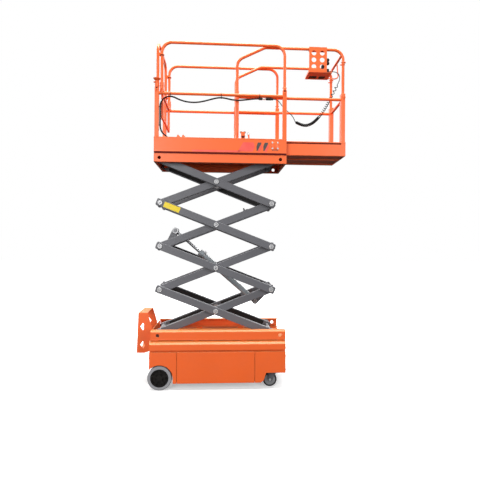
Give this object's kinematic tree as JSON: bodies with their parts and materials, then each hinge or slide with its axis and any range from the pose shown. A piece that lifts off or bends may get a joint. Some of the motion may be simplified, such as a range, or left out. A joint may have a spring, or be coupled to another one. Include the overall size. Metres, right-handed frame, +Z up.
{
  "type": "scissor lift",
  "caption": "Small self-propelled scissor lift with a grey stacked scissor, an orange chassis with entry steps, and a railed platform with a roll-out deck.",
  "frame": {"origin": "on the floor, at the middle of the machine's overall length and width at rest", "axes": "+Z up, +X along the machine towards the end that the deck rolls out over, +Y to the left of that direction"},
  "size_m": [1.88, 0.76, 3.0713],
  "materials": {
    "orange_paint": "semi-gloss powder coat",
    "grey_paint": "satin paint",
    "zinc": "zinc plated",
    "chrome": "polished",
    "grey_tyre": "non-marking solid rubber",
    "dark_tyre": "solid rubber",
    "black_plastic": "moulded",
    "cable_jacket": "smooth sheath"
  },
  "bodies": {
    "chassis": {"chassis_frame": "orange_paint", "chassis_shell": "orange_paint", "pivot_ears": "grey_paint", "side_covers": "orange_paint", "end_panels": "orange_paint", "ladder": "orange_paint", "power_block": "black_plastic", "guide_rails": "orange_paint", "drive_motors": "black_plastic"},
    "platform": {"platform_frame": "orange_paint", "platform_deck": "orange_paint", "platform_toe_boards": "orange_paint", "platform_lower_rails": "orange_paint", "side_top_rails": "orange_paint", "rear_top_rail": "orange_paint", "deck_lock": "orange_paint", "toe_brackets": "orange_paint", "rail_cable": "cable_jacket", "cable_fittings": "black_plastic", "control_lead": "cable_jacket"},
    "extension": {"extension_deck": "orange_paint", "extension_toe_boards": "orange_paint", "extension_lower_rails": "orange_paint", "extension_side_rails": "orange_paint", "extension_front_rail": "orange_paint", "control_holder": "orange_paint", "controller": "black_plastic", "control_coil": "cable_jacket", "controller_lead": "cable_jacket"},
    "gate": {"entry_gate": "orange_paint"},
    "barrel": {"cylinder_barrel": "grey_paint"},
    "rod": {"cylinder_rod": "chrome"},
    "inner_1": {"inner_frame_1": "grey_paint", "lower_bracket": "grey_paint"},
    "outer_1": {"outer_arms_1": "grey_paint", "outer_pins_1": "zinc", "chassis_rollers": "zinc"},
    "inner_2": {"inner_frame_2": "grey_paint"},
    "outer_2": {"outer_arms_2": "grey_paint", "outer_pins_2": "zinc"},
    "inner_3": {"inner_frame_3": "grey_paint", "upper_bracket": "grey_paint"},
    "outer_3": {"outer_arms_3": "grey_paint", "outer_pins_3": "zinc"},
    "inner_4": {"inner_frame_4": "grey_paint", "platform_rollers": "zinc"},
    "outer_4": {"outer_arms_4": "grey_paint", "outer_pins_4": "zinc"},
    "drive_wheel_left": {"drive_tyre_left": "grey_tyre", "drive_hub_left": "black_plastic"},
    "caster_fork_left": {"caster_fork_left": "zinc"},
    "caster_wheel_left": {"caster_tyre_left": "dark_tyre", "caster_rim_left": "zinc"},
    "drive_wheel_right": {"drive_tyre_right": "grey_tyre", "drive_hub_right": "black_plastic"},
    "caster_fork_right": {"caster_fork_right": "zinc"},
    "caster_wheel_right": {"caster_tyre_right": "dark_tyre", "caster_rim_right": "zinc"}
  },
  "joints": [
    {"name": "lift", "type": "hinge", "parent": "chassis", "child": "inner_1", "pos_m": [-0.732, 0, 0.474], "axis": [0, -1, 0], "range_deg": [-16.25, 30.75]},
    {"name": "centre_pin_1", "type": "hinge", "parent": "inner_1", "child": "outer_1", "pos_m": [-0.23128, 0, 0.66872], "axis": [0, -1, 0], "range_deg": [-61.7, 32.7]},
    {"name": "end_pin_1", "type": "hinge", "parent": "outer_1", "child": "inner_2", "pos_m": [-0.732, 0, 0.86344], "axis": [0, -1, 0], "range_deg": [-32.7, 61.7]},
    {"name": "centre_pin_2", "type": "hinge", "parent": "inner_2", "child": "outer_2", "pos_m": [-0.23128, 0, 1.05816], "axis": [0, -1, 0], "range_deg": [-61.7, 32.7]},
    {"name": "end_pin_2", "type": "hinge", "parent": "outer_2", "child": "inner_3", "pos_m": [-0.732, 0, 1.25288], "axis": [0, -1, 0], "range_deg": [-32.7, 61.7]},
    {"name": "centre_pin_3", "type": "hinge", "parent": "inner_3", "child": "outer_3", "pos_m": [-0.23128, 0, 1.4476], "axis": [0, -1, 0], "range_deg": [-61.7, 32.7]},
    {"name": "end_pin_3", "type": "hinge", "parent": "outer_3", "child": "inner_4", "pos_m": [-0.732, 0, 1.64232], "axis": [0, -1, 0], "range_deg": [-32.7, 61.7]},
    {"name": "centre_pin_4", "type": "hinge", "parent": "inner_4", "child": "outer_4", "pos_m": [-0.23128, 0, 1.83704], "axis": [0, -1, 0], "range_deg": [-61.7, 32.7]},
    {"name": "platform_pin", "type": "hinge", "parent": "outer_4", "child": "platform", "pos_m": [-0.732, 0, 2.03176], "axis": [0, -1, 0], "range_deg": [-16.45, 30.95]},
    {"name": "barrel_pin", "type": "hinge", "parent": "inner_1", "child": "barrel", "pos_m": [0.13777, 0, 0.73713], "axis": [0, -1, 0], "range_deg": [-59.24, 31.4]},
    {"name": "rod_slide", "type": "slide", "parent": "barrel", "child": "rod", "axis": [-0.751, 0, 0.6604], "range_m": [-0.1894, 0.3538]},
    {"name": "deck_roll_out", "type": "slide", "parent": "platform", "child": "extension", "axis": [1, 0, 0], "range_m": [-0.5, 0], "deforming": ["control_lead", "control_coil"]},
    {"name": "gate_lift", "type": "slide", "parent": "platform", "child": "gate", "axis": [0, 0, 1], "range_m": [0, 0.22]},
    {"name": "drive_spin_left", "type": "hinge", "parent": "chassis", "child": "drive_wheel_left", "pos_m": [-0.713, 0.339, 0.105], "axis": [0, 1, 0], "continuous": true},
    {"name": "caster_swivel_left", "type": "hinge", "parent": "chassis", "child": "caster_fork_left", "pos_m": [0.292, 0.27, 0.1], "axis": [0, 0, 1], "continuous": true},
    {"name": "caster_spin_left", "type": "hinge", "parent": "caster_fork_left", "child": "caster_wheel_left", "pos_m": [0.258, 0.27, 0.0625], "axis": [0, 1, 0], "continuous": true},
    {"name": "drive_spin_right", "type": "hinge", "parent": "chassis", "child": "drive_wheel_right", "pos_m": [-0.713, -0.339, 0.105], "axis": [0, 1, 0], "continuous": true},
    {"name": "caster_swivel_right", "type": "hinge", "parent": "chassis", "child": "caster_fork_right", "pos_m": [0.292, -0.27, 0.1], "axis": [0, 0, 1], "continuous": true},
    {"name": "caster_spin_right", "type": "hinge", "parent": "caster_fork_right", "child": "caster_wheel_right", "pos_m": [0.258, -0.27, 0.0625], "axis": [0, 1, 0], "continuous": true}
  ],
  "couplings": [
    {"joint": "centre_pin_1", "follows": "lift", "ratio": -2},
    {"joint": "end_pin_1", "follows": "lift", "ratio": 2},
    {"joint": "centre_pin_2", "follows": "lift", "ratio": -2},
    {"joint": "end_pin_2", "follows": "lift", "ratio": 2},
    {"joint": "centre_pin_3", "follows": "lift", "ratio": -2},
    {"joint": "end_pin_3", "follows": "lift", "ratio": 2},
    {"joint": "centre_pin_4", "follows": "lift", "ratio": -2},
    {"joint": "platform_pin", "follows": "lift", "ratio": 1},
    {"joint": "barrel_pin", "follows": "lift", "ratio": -1.92},
    {"joint": "rod_slide", "follows": "lift", "m_per_rad": 0.65}
  ]
}
